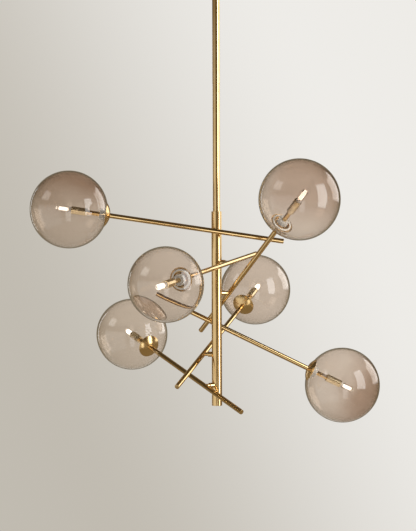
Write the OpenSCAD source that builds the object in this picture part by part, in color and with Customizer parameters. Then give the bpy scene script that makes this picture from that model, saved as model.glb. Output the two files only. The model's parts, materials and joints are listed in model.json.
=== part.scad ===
// Branch chandelier.
// A stem hangs from a ceiling canopy and carries a tubular column. Six equal arms leave the
// column on a spiral, one above the other. Each arm is a straight tube that tilts about a short
// hollow stub: it ends in a plain closed tip on one side and in a blown globe on the other.
// The origin is the middle of the face that meets the ceiling. +Z is up and -Y is the front.

/* [Ceiling bar] */
// Distance between the two screw slots
slot_pitch = 88.9; // [80:0.1:96]
// Width of each screw slot
slot_w = 4.5; // [3.5:0.1:5.5]
// Whole length of each screw slot
slot_len = 12; // [8:0.5:14]
// Metal beyond each slot
bar_end = 6; // [4:0.5:7]
// Width of the bar
bar_w = 20; // [14:1:24]
// Thickness of the bar
bar_t = 2; // [1.5:0.1:3]
// Gap between the ceiling and the lowered middle of the bar
bar_drop = 8; // [7:0.5:10]
// Length of the lowered middle of the bar
bar_mid = 50; // [30:1:56]
// Diameter of the threaded shank that hangs from the bar
shank_d = 10; // [9:0.1:11]
// Gap between the ceiling and the top of the shank
shank_gap = 2.5; // [1:0.1:3]
// Width across the flats of the two nuts on the shank
shank_nut_af = 17; // [15:0.5:19]
// Height of each of those nuts
shank_nut_h = 4.5; // [3:0.1:5]

/* [Canopy] */
// Diameter of the canopy
canopy_d = 130; // [126:1:180]
// Height of the canopy
canopy_h = 28; // [22:0.5:45]
// Thickness of the canopy's wall
canopy_wall = 1; // [0.8:0.1:2]
// Radius of the canopy's lower edge
canopy_edge = 7; // [3:0.5:12]
// Diameter of the knurled ring that holds the canopy up
ring_d = 24; // [20:0.5:32]
// Height of the knurled ring
ring_h = 7; // [5:0.5:12]
// Depth of the grooves of the knurled ring
knurl = 0.7; // [0.4:0.1:1]

/* [Swivel] */
// Gap between the knurled ring and the swivel
swivel_gap = 1; // [0.5:0.1:3]
// Diameter of the swivel
swivel_d = 20; // [20:0.5:26]
// Height of the disc on each half of the swivel
disc_h = 5; // [3:0.5:8]
// Width of the fork's ears and of the tongue
ear_w = 16; // [14:0.5:17]
// Thickness of each ear of the fork
ear_t = 5; // [4:0.1:5]
// Thickness of the tongue
tongue_t = 7.4; // [6:0.1:7.6]
// Free height above the tongue's rounded end and below the ears
swivel_free = 1; // [0.6:0.1:2]
// Height of the taper between the lower disc and the upper rod
taper_h = 5; // [3:0.5:12]
// Diameter of the shoulder screw
screw_d = 5; // [4:0.1:6]
// Diameter of the screw's head
screw_head_d = 8.4; // [7.5:0.1:8.6]
// Height of the screw's head and of its nut
screw_head_h = 3.2; // [2.5:0.1:4]

/* [Stem] */
// Diameter of the upper rod
upper_d = 14.5; // [13:0.1:18]
// Length of the upper rod
upper_len = 300; // [100:5:900]
// Diameter of the lower rod
lower_d = 14; // [12.5:0.1:16]
// Length of the lower rod between its spigots
lower_len = 250; // [100:5:600]
// Diameter of the spigots that join rods, swivel and column
spigot_d = 10; // [8.5:0.1:10.5]
// Length of the spigots inside the upper rod
spigot_len = 14; // [8:1:30]
// Bore for the wires in shank, swivel and lower rod
wire_bore = 6; // [4:0.1:6.5]

/* [Column] */
// Diameter of the column
column_d = 20; // [18:0.5:26]
// Wall of the column
column_wall = 1.5; // [1:0.1:2]
// Thickness of the column's closed top
column_top_t = 8; // [4:0.5:12]
// Height of the plug in the column's lower end
plug_h = 8; // [4:0.5:14]
// Column left above the first arm and below the last arm
column_margin = 40; // [24:1:80]
// Height between one arm and the next
arm_step = 60; // [58:1:90]

/* [Pivots] */
// Diameter of the collars fixed to the column
collar_d = 10.3; // [9:0.1:12]
// Distance of a collar's outer end from the column's axis
collar_reach = 18; // [15:0.5:20]
// Gap between a collar and the neck that turns against it
pivot_gap = 0.3; // [0.1:0.05:0.5]
// Diameter of the neck between collar and arm
neck_d = 7.2; // [6.4:0.1:9]
// Diameter of the spindle that turns in the collar
spindle_d = 6; // [5:0.1:6.3]
// Bore through neck and spindle for the wires
spindle_bore = 3.2; // [2.5:0.1:3.6]
// Diameter of the locknut inside the column
lock_d = 9; // [8:0.1:10]
// Thickness of the locknut
lock_h = 2.5; // [2:0.1:3]

/* [Arms] */
// Distance between the column's axis and the axis of each arm
arm_offset = 29.25; // [27:0.25:34]
// Diameter of the arms
arm_d = 9.5; // [9:0.1:12]
// Bore of the arms
arm_bore = 5.6; // [4:0.1:6.6]
// Length of an arm from its pivot to its plain tip
arm_back = 130; // [60:1:140]
// Length of an arm from its pivot to the rim of its globe cap
arm_reach = 218; // [200:1:240]
// Thickness of the closed tip
tip_t = 2; // [1:0.1:6]
// Chamfer of the closed tip
tip_edge = 0.6; // [0.2:0.1:1]
// Diameter of the reduced end of the arm, which passes through cap and nut
nipple_d = 8.6; // [8:0.1:8.8]

/* [Globe caps] */
// Diameter of the cap's rim
cap_d = 46; // [42:0.5:56]
// Height of the cap's dome
cap_h = 8.5; // [7.5:0.5:11]
// Wall of the cap
cap_wall = 1; // [0.8:0.1:1.4]
// How much of the dome's top is flattened under the arm's shoulder
cap_flat = 0.3; // [0.2:0.05:0.6]
// Diameter of the hub inside the cap
hub_d = 13; // [11:0.5:16]
// Diameter of the short sleeve that carries the seal
sleeve_d = 31.6; // [29:0.1:32.6]
// Reach of that sleeve into the globe, past the rim
sleeve_reach = 3; // [2.5:0.1:5]
// Diameter of the nut inside the globe
nut_d = 21; // [16:0.5:24]
// Height of the nut inside the globe
nut_h = 9.5; // [6:0.5:12]
// Distance from the cap's rim to the nut
nut_start = 2.5; // [1:0.5:5]
// Depth of the recess in the nut's face
nut_recess = 1.5; // [0.5:0.1:3]

/* [Globes] */
// Wall of the glass
glass_wall = 2.2; // [1.5:0.1:3]
// Diameter of the hole in the glass
hole_d = 34; // [33:0.1:37]
// Diameter of the seal's lips
lip_d = 38; // [37.5:0.1:40]

/* [Lamps] */
// Distance from the cap's rim to the lamp holder
holder_start = 36; // [24:1:44]
// Diameter of the lamp holder
holder_d = 14.5; // [13:0.1:20]
// Length of the lamp holder
holder_len = 31; // [26:0.5:36]
// Depth of the nipple and of the bulb's base in the holder
holder_socket = 9; // [6:0.5:11]
// Diameter of the bulb's capsule
bulb_d = 10.4; // [8:0.1:12]
// Diameter of the bulb's base
base_d = 9.6; // [8.6:0.1:11]
// Length of the base outside the holder
base_len = 5; // [2:0.5:8]
// Length of the bulb outside the holder
bulb_len = 30; // [22:0.5:36]
// Diameter of the bulb's two contact pins
contact_d = 1.2; // [0.8:0.1:1.5]
// Distance between the two contact pins
contact_pitch = 4; // [3:0.1:5]

/* [Arm 1] */
// Direction of the stub, counter-clockwise from +X seen from above
azimuth_1 = -87; // [-97:1:-77]
// Rise of the arm towards its globe
rise_1 = 8.5; // [-40:0.5:40]
// Diameter of the globe
globe_1_d = 150; // [130:1:154]

/* [Arm 2] */
// Direction of the stub, counter-clockwise from +X seen from above
azimuth_2 = -25; // [-35:1:-15]
// Rise of the arm towards its globe
rise_2 = -8; // [-40:0.5:40]
// Diameter of the globe
globe_2_d = 135; // [130:1:154]

/* [Arm 3] */
// Direction of the stub, counter-clockwise from +X seen from above
azimuth_3 = 33; // [27:1:41]
// Rise of the arm towards its globe
rise_3 = 37; // [-40:0.5:40]
// Diameter of the globe
globe_3_d = 150; // [130:1:154]

/* [Arm 4] */
// Direction of the stub, counter-clockwise from +X seen from above
azimuth_4 = 99; // [91:1:107]
// Rise of the arm towards its globe
rise_4 = -26; // [-40:0.5:40]
// Diameter of the globe
globe_4_d = 150; // [130:1:154]

/* [Arm 5] */
// Direction of the stub, counter-clockwise from +X seen from above
azimuth_5 = 155; // [147:1:163]
// Rise of the arm towards its globe
rise_5 = 25; // [-40:0.5:40]
// Diameter of the globe
globe_5_d = 150; // [130:1:154]

/* [Arm 6] */
// Direction of the stub, counter-clockwise from +X seen from above
azimuth_6 = 214; // [204:1:224]
// Rise of the arm towards its globe
rise_6 = 18; // [-40:0.5:40]
// Diameter of the globe
globe_6_d = 150; // [130:1:154]

/* [Hidden] */
$fn = 72;
// Facets of the large circles that shape thin lips
FINE = 288;
azimuths = [azimuth_1, azimuth_2, azimuth_3, azimuth_4, azimuth_5, azimuth_6];
rises = [rise_1, rise_2, rise_3, rise_4, rise_5, rise_6];
globe_ds = [globe_1_d, globe_2_d, globe_3_d, globe_4_d, globe_5_d, globe_6_d];
ARMS = [1, 2, 3, 4, 5, 6];

// Clearances: a turning fit, a seat between fixed pieces, a loose hole, and the side of a tongue.
turn_play = 0.05;
seat_play = 0.05;
loose_play = 0.2;
side_play = 0.3;
// Length by which a cutting shape runs past the face that it cuts.
over = 1;

// Heights down the stem, all measured from the ceiling.
ring_top = -canopy_h;
swivel_top = ring_top - ring_h - swivel_gap;
fork_root = swivel_top - disc_h;
pin_z = fork_root - swivel_free - ear_w / 2;
tongue_root = pin_z - ear_w / 2 - swivel_free * 2;
lower_disc = tongue_root - disc_h;
upper_top = lower_disc - taper_h;
seam_z = upper_top - upper_len;
column_top = seam_z - lower_len;
column_len = column_margin * 2 + arm_step * (len(ARMS) - 1);
column_bottom = column_top - column_len;
column_bore = column_d - column_wall * 2;
ear_out = tongue_t / 2 + side_play + ear_t;
screw_bore = screw_d + turn_play * 2;
spindle_hole = spindle_d + turn_play * 2;
spigot_hole = spigot_d + loose_play;

// The locknut's outer face clears the round wall of the column by side_play.
lock_face = sqrt(pow(column_bore / 2, 2) - pow(lock_d / 2, 2)) - side_play;
spindle_end = lock_face - lock_h - over;

// The dome is part of a ball that passes through the cap's rim and is cap_h high.
cap_r = cap_d / 2;
dome_r = (cap_r * cap_r + cap_h * cap_h) / (2 * cap_h);
dome_z = dome_r - cap_h;
cap_seat = cap_h - cap_flat;
glass_play = 0.1;
nut_end = nut_start + nut_h;
holder_end = holder_start + holder_len;
base_start = holder_end - holder_socket + loose_play;
nipple_end = holder_start + holder_socket;
contact_len = 4;

ARM_PARTS = [
    "arm_tube", "pivot_stub", "globe_cap", "globe_nut",
    "globe_seal", "lamp_holder", "bulb", "glass_globe"
];
TOP_PARTS = [
    "mounting_bar", "shank_nuts", "canopy", "canopy_ring",
    "swivel_fork", "swivel_screw", "swivel_tongue", "upper_rod",
    "lower_rod", "column", "column_plug", "pivot_collars"
];

function pivot_z(n) = column_top - column_margin - arm_step * (n - 1);
function globe_r(n) = globe_ds[n - 1] / 2;
// Distance from the cap's rim to the globe's centre: the glass just clears the rim.
function globe_z(n) = sqrt(pow(globe_r(n) + glass_play, 2) - cap_r * cap_r);

// Moves to the pivot of arm n, with X along its stub and away from the column.
module at_pivot(n) {
    translate([0, 0, pivot_z(n)])
        rotate([0, 0, azimuths[n - 1]])
            translate([arm_offset, 0, 0])
                children();
}

// Moves to the pivot of arm n, with Z along the arm and towards its globe.
module along_arm(n) {
    at_pivot(n)
        rotate([90 - rises[n - 1], 0, 0])
            children();
}

// Moves to the middle of the rim of globe cap n, with Z towards the globe.
module at_rim(n) {
    along_arm(n)
        translate([0, 0, arm_reach])
            children();
}

// A round bar along X, from one distance to another.
module bar_x(d, from, to) {
    translate([from, 0, 0])
        rotate([0, 90, 0])
            cylinder(d = d, h = to - from);
}

// A plate of the swivel: it stands on z_low and ends in a round about the pin.
module swivel_plate(t, z_low, z_high) {
    translate([-t / 2, -ear_w / 2, z_low])
        cube([t, ear_w, z_high - z_low]);
    translate([0, 0, pin_z])
        bar_x(ear_w, -t / 2, t / 2);
}

// A ring in half section, from one radius and height to another.
module half_ring(r_in, r_out, z_in, z_out) {
    translate([r_in, z_in])
        square([r_out - r_in, z_out - z_in]);
}

module mounting_bar() {
    web_x = bar_mid / 2;
    half_len = slot_pitch / 2 + slot_len / 2 + bar_end;
    color("silver")
        difference() {
            union() {
                translate([-web_x - bar_t, -bar_w / 2, -bar_drop - bar_t])
                    cube([bar_mid + bar_t * 2, bar_w, bar_t]);
                for (side = [-1, 1]) {
                    translate([side > 0 ? web_x : -web_x - bar_t, -bar_w / 2, -bar_drop - bar_t])
                        cube([bar_t, bar_w, bar_drop + bar_t]);
                    translate([side > 0 ? web_x : -half_len, -bar_w / 2, -bar_t])
                        cube([half_len - web_x, bar_w, bar_t]);
                }
            }
            translate([0, 0, -bar_drop - bar_t - over])
                cylinder(d = shank_d + loose_play * 2, h = bar_t + over * 2);
            for (side = [-1, 1]) {
                translate([side * slot_pitch / 2, 0, -bar_t - over])
                    screw_slot();
            }
        }
}

module screw_slot() {
    straight = slot_len - slot_w;
    translate([-straight / 2, -slot_w / 2, 0])
        cube([straight, slot_w, bar_t + over * 2]);
    for (end = [-1, 1]) {
        translate([end * straight / 2, 0, 0])
            cylinder(d = slot_w, h = bar_t + over * 2);
    }
}

module shank_nuts() {
    nut_lows = [-bar_drop, -bar_drop - bar_t - shank_nut_h];
    color("silver")
        for (low = nut_lows) {
            translate([0, 0, low])
                difference() {
                    cylinder(d = shank_nut_af / cos(30), h = shank_nut_h, $fn = 6);
                    translate([0, 0, -over])
                        cylinder(d = shank_d + seat_play * 2, h = shank_nut_h + over * 2);
                }
        }
}

// The canopy's outline in half section, shrunk by one wall for its hollow.
module canopy_outline(inset) {
    r = canopy_d / 2 - inset;
    h = canopy_h - inset;
    edge = canopy_edge - inset;
    half_ring(0, r, edge - h, 0);
    half_ring(0, r - edge, -h, 0);
    translate([r - edge, edge - h])
        circle(r = edge);
}

module canopy() {
    color("goldenrod")
        rotate_extrude()
            difference() {
                canopy_outline(0);
                canopy_outline(canopy_wall);
                half_ring(0, shank_d / 2 + loose_play, -canopy_h - over, 0);
            }
}

module canopy_ring() {
    grooves = 24;
    color("goldenrod")
        translate([0, 0, ring_top - ring_h])
            difference() {
                cylinder(d = ring_d, h = ring_h);
                translate([0, 0, -over])
                    cylinder(d = shank_d + seat_play * 2, h = ring_h + over * 2);
                for (groove = [1 : grooves]) {
                    rotate([0, 0, groove * 360 / grooves])
                        translate([ring_d / 2, 0, -over])
                            cylinder(r = knurl, h = ring_h + over * 2);
                }
            }
}

module swivel_fork() {
    color("goldenrod")
        difference() {
            union() {
                translate([0, 0, swivel_top])
                    cylinder(d = shank_d, h = -shank_gap - swivel_top);
                intersection() {
                    union() {
                        translate([-swivel_d / 2, -swivel_d / 2, fork_root])
                            cube([swivel_d, swivel_d, disc_h]);
                        swivel_plate(ear_out * 2, pin_z, fork_root);
                    }
                    translate([0, 0, pin_z - ear_w])
                        cylinder(d = swivel_d, h = swivel_top - pin_z + ear_w);
                }
            }
            translate([ear_t - ear_out, -swivel_d / 2, pin_z - ear_w])
                cube([(ear_out - ear_t) * 2, swivel_d, fork_root - pin_z + ear_w]);
            translate([0, 0, pin_z])
                bar_x(screw_bore, -swivel_d, swivel_d);
            translate([0, 0, fork_root - over])
                cylinder(d = wire_bore, h = -fork_root + over);
        }
}

module swivel_screw() {
    driver_slot = 1.2;
    nut_x = ear_out + seat_play;
    color("goldenrod")
        translate([0, 0, pin_z]) {
            difference() {
                union() {
                    bar_x(screw_d, -nut_x, nut_x + screw_head_h);
                    bar_x(screw_head_d, -nut_x - screw_head_h, -nut_x);
                }
                translate([-nut_x - screw_head_h - over, -screw_head_d, -driver_slot / 2])
                    cube([over + driver_slot, screw_head_d * 2, driver_slot]);
            }
            difference() {
                translate([nut_x, 0, 0])
                    rotate([0, 90, 0])
                        cylinder(d = screw_head_d, h = screw_head_h, $fn = 6);
                bar_x(screw_d + seat_play * 2, nut_x - over, nut_x + screw_head_h + over);
            }
        }
}

module swivel_tongue() {
    side_hole = 4;
    color("goldenrod")
        difference() {
            union() {
                swivel_plate(tongue_t, tongue_root, pin_z);
                translate([0, 0, lower_disc])
                    cylinder(d = swivel_d, h = disc_h);
                translate([0, 0, upper_top])
                    cylinder(d1 = upper_d, d2 = swivel_d, h = taper_h);
                translate([0, 0, upper_top - spigot_len])
                    cylinder(d = spigot_d, h = spigot_len);
            }
            translate([0, 0, pin_z])
                bar_x(screw_bore, -swivel_d, swivel_d);
            translate([0, 0, upper_top - spigot_len - over])
                cylinder(d = wire_bore, h = tongue_root - upper_top + spigot_len + over);
            translate([0, -swivel_d, tongue_root])
                rotate([-90, 0, 0])
                    cylinder(d = side_hole, h = swivel_d * 2);
        }
}

module upper_rod() {
    color("goldenrod")
        difference() {
            translate([0, 0, seam_z])
                cylinder(d = upper_d, h = upper_len);
            translate([0, 0, seam_z - over])
                cylinder(d = spigot_hole, h = upper_len + over * 2);
        }
}

module lower_rod() {
    spigot_low = column_top - column_top_t;
    spigot_high = seam_z + spigot_len;
    color("goldenrod")
        difference() {
            union() {
                translate([0, 0, column_top])
                    cylinder(d = lower_d, h = lower_len);
                translate([0, 0, spigot_low])
                    cylinder(d = spigot_d, h = spigot_high - spigot_low);
            }
            translate([0, 0, spigot_low - over])
                cylinder(d = wire_bore, h = spigot_high - spigot_low + over * 2);
        }
}

module column() {
    color("goldenrod")
        difference() {
            translate([0, 0, column_bottom])
                cylinder(d = column_d, h = column_len);
            translate([0, 0, column_bottom - over])
                cylinder(d = column_bore, h = column_len - column_top_t + over);
            translate([0, 0, column_top - column_top_t - over])
                cylinder(d = spigot_hole, h = column_top_t + over * 2);
            for (n = ARMS) {
                at_pivot(n)
                    bar_x(spindle_hole, -arm_offset, column_d - arm_offset);
            }
        }
}

module column_plug() {
    key_af = 6;
    key_depth = 3;
    color("goldenrod")
        translate([0, 0, column_bottom])
            difference() {
                cylinder(d = column_bore - seat_play * 2, h = plug_h);
                translate([0, 0, -over])
                    cylinder(d = key_af / cos(30), h = key_depth + over, $fn = 6);
            }
}

module pivot_collars() {
    color("goldenrod")
        for (n = ARMS) {
            difference() {
                at_pivot(n)
                    bar_x(collar_d, -arm_offset, collar_reach - arm_offset);
                at_pivot(n)
                    bar_x(spindle_hole, -arm_offset - over, collar_reach - arm_offset + over);
                translate([0, 0, pivot_z(n) - collar_d])
                    cylinder(d = column_d + seat_play * 2, h = collar_d * 2);
            }
        }
}

// The neck and its spindle are one turned piece. The locknut is a second solid.
module pivot_stub(n) {
    neck_start = collar_reach + pivot_gap - arm_offset;
    lock_x = lock_face - lock_h - arm_offset;
    color("goldenrod")
        at_pivot(n) {
            difference() {
                union() {
                    bar_x(neck_d, neck_start, 0);
                    bar_x(spindle_d, spindle_end - arm_offset, neck_start);
                }
                bar_x(spindle_bore, -arm_offset - over, over);
                rotate([90 - rises[n - 1], 0, 0])
                    translate([0, 0, -neck_d])
                        cylinder(d = arm_d + seat_play * 2, h = neck_d * 2);
            }
            difference() {
                bar_x(lock_d, lock_x, lock_x + lock_h);
                bar_x(spindle_d + seat_play * 2, lock_x - over, lock_x + lock_h + over);
            }
        }
}

module arm_tube(n) {
    shoulder = arm_reach - cap_seat;
    color("goldenrod")
        along_arm(n)
            difference() {
                union() {
                    translate([0, 0, -arm_back])
                        cylinder(d1 = arm_d - tip_edge * 2, d2 = arm_d, h = tip_edge);
                    translate([0, 0, tip_edge - arm_back])
                        cylinder(d = arm_d, h = shoulder + arm_back - tip_edge);
                    translate([0, 0, shoulder])
                        cylinder(d = nipple_d, h = arm_reach + nipple_end - shoulder);
                }
                translate([0, 0, tip_t - arm_back])
                    cylinder(d = arm_bore, h = arm_reach + nipple_end + arm_back);
                bar_x(spindle_bore, -arm_d, 0);
            }
}

module globe_cap(n) {
    sleeve_wall = 0.8;
    color("goldenrod")
        at_rim(n)
            rotate_extrude()
                difference() {
                    intersection() {
                        translate([0, dome_z])
                            circle(r = dome_r);
                        union() {
                            difference() {
                                half_ring(0, cap_r, -cap_seat, 0);
                                translate([0, dome_z])
                                    circle(r = dome_r - cap_wall);
                            }
                            half_ring(0, hub_d / 2, -cap_seat, nut_start);
                            half_ring(sleeve_d / 2 - sleeve_wall, sleeve_d / 2, -cap_seat, sleeve_reach);
                        }
                    }
                    half_ring(0, nipple_d / 2 + seat_play, -cap_h, nut_start + over);
                    intersection() {
                        translate([0, globe_z(n)])
                            circle(r = globe_r(n) + glass_play, $fn = FINE);
                        half_ring(hole_d / 2, cap_d, -cap_h, cap_d);
                    }
                }
}

module globe_nut(n) {
    recess_in = nipple_d / 2 + 1.2;
    recess_out = nut_d / 2 - 1;
    color("dimgray")
        at_rim(n)
            rotate_extrude()
                difference() {
                    half_ring(nipple_d / 2 + seat_play, nut_d / 2, nut_start, nut_end);
                    half_ring(recess_in, recess_out, nut_end - nut_recess, nut_end + over);
                }
}

// The seal sits on the cap's sleeve and grips the edge of the glass between two lips.
module globe_seal(n) {
    color("saddlebrown")
        at_rim(n)
            rotate_extrude()
                difference() {
                    intersection() {
                        half_ring(sleeve_d / 2 + seat_play, lip_d / 2, -cap_h, sleeve_reach);
                        translate([0, dome_z])
                            circle(r = dome_r - cap_wall - glass_play, $fn = FINE);
                    }
                    intersection() {
                        half_ring(hole_d / 2 - seat_play, cap_d, -cap_h, cap_d);
                        difference() {
                            translate([0, globe_z(n)])
                                circle(r = globe_r(n) + seat_play, $fn = FINE);
                            translate([0, globe_z(n)])
                                circle(r = globe_r(n) - glass_wall - seat_play, $fn = FINE);
                        }
                    }
                }
}

module lamp_holder(n) {
    edge = 0.6;
    color("goldenrod")
        at_rim(n)
            difference() {
                union() {
                    translate([0, 0, holder_start])
                        cylinder(d1 = holder_d - edge * 2, d2 = holder_d, h = edge);
                    translate([0, 0, holder_start + edge])
                        cylinder(d = holder_d, h = holder_len - edge * 2);
                    translate([0, 0, holder_end - edge])
                        cylinder(d1 = holder_d, d2 = holder_d - edge * 2, h = edge);
                }
                translate([0, 0, holder_start - over])
                    cylinder(d = nipple_d + seat_play * 2, h = holder_socket + over);
                translate([0, 0, holder_end - holder_socket])
                    cylinder(d = base_d + loose_play * 2, h = holder_socket + over);
                contact_pins(n, contact_d + loose_play);
            }
}

// The two pins that reach from the bulb's base into the holder.
module contact_pins(n, d) {
    for (side = [-1, 1]) {
        translate([side * contact_pitch / 2, 0, base_start - contact_len])
            cylinder(d = d, h = contact_len + over);
    }
}

module bulb(n) {
    tip_z = holder_end + bulb_len - bulb_d / 2;
    color("lightyellow")
        at_rim(n) {
            translate([0, 0, base_start])
                cylinder(d = base_d, h = holder_end + base_len - base_start);
            translate([0, 0, holder_end + base_len])
                cylinder(d1 = base_d - over, d2 = bulb_d, h = over);
            translate([0, 0, holder_end + base_len + over])
                cylinder(d = bulb_d, h = tip_z - holder_end - base_len - over);
            translate([0, 0, tip_z])
                sphere(d = bulb_d);
            contact_pins(n, contact_d);
        }
}

// The balls lie on their side, so that the hole isn't cut through a ball's pole.
module glass_globe(n) {
    color("tan")
        at_rim(n)
            difference() {
                translate([0, 0, globe_z(n)])
                    rotate([90, 0, 0])
                        sphere(r = globe_r(n));
                translate([0, 0, globe_z(n)])
                    rotate([90, 0, 0])
                        sphere(r = globe_r(n) - glass_wall);
                translate([0, 0, -cap_h])
                    cylinder(d = hole_d, h = cap_h * 2);
            }
}

mounting_bar();
shank_nuts();
canopy();
canopy_ring();
swivel_fork();
swivel_screw();
swivel_tongue();
upper_rod();
lower_rod();
column();
column_plug();
pivot_collars();
for (n = ARMS) {
    arm_tube(n);
    pivot_stub(n);
    globe_cap(n);
    globe_nut(n);
    globe_seal(n);
    lamp_holder(n);
    bulb(n);
    glass_globe(n);
}
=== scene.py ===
# %% [markdown]
# # Dressing a branch chandelier
# The real light hangs from a ceiling: a stem, a round column and six brass arms that leave
# the column on a spiral, each with a smoky glass globe on one end. Its exact solids were
# made in CAD. Here they are loaded as a fixed frame, and every visible piece gets its true
# edges and its finish. Nothing in this file moves or resizes a CAD part.

# %% Load the frame
import json
import math

import bmesh
import bpy
from mathutils import Matrix, Vector


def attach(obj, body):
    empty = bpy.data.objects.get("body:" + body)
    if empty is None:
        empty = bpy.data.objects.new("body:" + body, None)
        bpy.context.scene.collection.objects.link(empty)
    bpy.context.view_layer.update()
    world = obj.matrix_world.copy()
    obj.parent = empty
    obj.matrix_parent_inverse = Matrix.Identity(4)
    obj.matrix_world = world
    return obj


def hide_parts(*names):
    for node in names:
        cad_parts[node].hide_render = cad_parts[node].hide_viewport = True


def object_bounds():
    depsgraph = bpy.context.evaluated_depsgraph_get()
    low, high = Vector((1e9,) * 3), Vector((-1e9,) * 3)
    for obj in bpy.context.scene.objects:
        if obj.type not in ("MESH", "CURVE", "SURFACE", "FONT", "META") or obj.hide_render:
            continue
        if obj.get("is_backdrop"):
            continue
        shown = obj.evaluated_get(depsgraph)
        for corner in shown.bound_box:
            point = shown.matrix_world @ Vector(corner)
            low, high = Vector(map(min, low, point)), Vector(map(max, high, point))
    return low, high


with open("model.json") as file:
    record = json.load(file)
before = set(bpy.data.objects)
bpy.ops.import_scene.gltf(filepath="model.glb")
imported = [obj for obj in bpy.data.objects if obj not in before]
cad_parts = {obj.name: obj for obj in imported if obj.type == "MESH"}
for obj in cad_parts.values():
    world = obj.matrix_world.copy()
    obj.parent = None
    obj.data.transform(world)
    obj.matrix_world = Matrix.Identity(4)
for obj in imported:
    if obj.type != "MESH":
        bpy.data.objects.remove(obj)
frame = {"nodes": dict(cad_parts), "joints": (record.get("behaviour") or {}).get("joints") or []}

cad_box = [list(corner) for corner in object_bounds()]
scene = bpy.context.scene

# %% [markdown]
# ## The camera
# The photograph was taken level, from the front, with a long lens, so the arms hardly
# shrink with distance. The place below was fitted to the six globes and caps. A camera
# could also be aimed with a constraint, but a plain matrix says where it is at a glance.
# Blender's sensor width belongs to the longer side of the picture, here its height.

# %% Place the camera
PHOTO_HEIGHT = 531
FOCAL_PIXELS = 1337
CAMERA_PLACE = (-0.0169, -2.619, -0.7258)
CAMERA_ROLL = -0.00298

camera = bpy.data.objects.new("photo_camera", bpy.data.cameras.new("photo_camera"))
scene.collection.objects.link(camera)
camera.data.lens = camera.data.sensor_width * FOCAL_PIXELS / PHOTO_HEIGHT
camera.matrix_world = (
    Matrix.Translation(CAMERA_PLACE)
    @ Matrix.Rotation(math.pi / 2, 4, "X")
    @ Matrix.Rotation(CAMERA_ROLL, 4, "Z")
)
scene.camera = camera
scene.view_settings.view_transform = "Standard"
print("lens in mm:", round(camera.data.lens, 1))

# %% [markdown]
# ## Small helpers for node trees
# Every finish is a handful of nodes. These helpers make a node, join sockets and do sums,
# so that each finish further down reads as a short recipe.

# %% Node helpers
def add_node(tree, kind, **settings):
    """A new node of that kind with its settings."""
    made = tree.nodes.new(kind)
    for name, value in settings.items():
        setattr(made, name, value)
    return made


def feed(tree, socket, value):
    """Joins a socket to another socket, or gives it a plain value."""
    if isinstance(value, bpy.types.NodeSocket):
        tree.links.new(value, socket)
    else:
        socket.default_value = value


def sums(tree, operation, *values):
    """One Math node, and the socket that holds its result."""
    made = add_node(tree, "ShaderNodeMath", operation=operation)
    for socket, value in zip(made.inputs, values):
        feed(tree, socket, value)
    return made.outputs[0]


def spread(tree, value, low, high, to_low, to_high):
    """Maps a value from one range to another, with soft ends."""
    made = add_node(tree, "ShaderNodeMapRange", interpolation_type="SMOOTHSTEP")
    for socket, number in zip(made.inputs, (value, low, high, to_low, to_high)):
        feed(tree, socket, number)
    return made.outputs["Result"]


def blend_colours(tree, share, first, second):
    """A colour between two others."""
    made = add_node(tree, "ShaderNodeMix", data_type="RGBA")
    feed(tree, made.inputs["Factor"], share)
    feed(tree, made.inputs["A"], first)
    feed(tree, made.inputs["B"], second)
    return made.outputs["Result"]


def vector_node(tree, operation, *values):
    """One Vector Math node."""
    made = add_node(tree, "ShaderNodeVectorMath", operation=operation)
    for socket, value in zip(made.inputs, values):
        feed(tree, socket, value)
    return made


def split_axes(tree, vector):
    """The three sockets X, Y and Z of a vector."""
    made = add_node(tree, "ShaderNodeSeparateXYZ")
    feed(tree, made.inputs[0], vector)
    return made.outputs["X"], made.outputs["Y"], made.outputs["Z"]


# %% [markdown]
# ## The studio
# Polished brass has no look of its own: it shows the room. A photographer gives it one with
# large soft lights, white cards and dark gaps between them, which draw the bright and dark
# lines along each tube. The cards are painted into the world as soft rectangles in fixed
# directions, because real boards would stand in the way of the side views. What the camera
# sees behind the light is a plain pale backdrop, and glass shows it too.

# %% Paint the world
BACKDROP_LEFT = (0.530, 0.497, 0.437, 1)
BACKDROP_RIGHT = (0.855, 0.839, 0.805, 1)
# The backdrop changes along x plus this share of z, between these two values.
BACKDROP_RISE = 0.45
BACKDROP_RANGE = (-0.17, 0.15)
ROOM_TINT = (1.0, 0.80, 0.50, 1)
CARD_TINT = (1.0, 0.985, 0.95, 1)
# The room's tint gives way to the cards' tint between these levels.
TINT_RANGE = (0.1, 0.5)
ROOM_BELOW, ROOM_ABOVE = 0.24, 0.07
# The room darkens upwards between these elevations.
ROOM_RANGE = (-12, 25)
DIFFUSE_FILL = 0.45
# Azimuths are counted from here all the way round, so that no card straddles the seam.
FIRST_AZIMUTH = -150
# Azimuth from the camera's side towards the right (from, to), elevation (from, to), soft
# edge, all in degrees, and the brightness.
CARDS = {
    "left wall": (-96, -18, -46, 9, 8, 0.80),
    "left window": (-90, -62, 22, 42, 4, 1.7),
    "low front card": (-4, 12, -38, -6, 3, 1.8),
    "back window": (102, 140, 0, 34, 3, 2.1),
    "wall behind": (152, 208, -40, 50, 6, 0.22),
}


def card_direction(azimuth, elevation):
    """The unit vector that way: azimuth 0 is the camera's side, 90 the right."""
    a, e = math.radians(azimuth), math.radians(elevation)
    return (math.sin(a) * math.cos(e), -math.cos(a) * math.cos(e), math.sin(e))


def within(tree, angle, low, high, edge):
    """1 between two angles and 0 outside them, with soft edges."""
    off = sums(tree, "ABSOLUTE", sums(tree, "SUBTRACT", angle, (low + high) / 2))
    return spread(tree, off, (high - low) / 2 - edge, (high - low) / 2 + edge, 1, 0)


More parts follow.
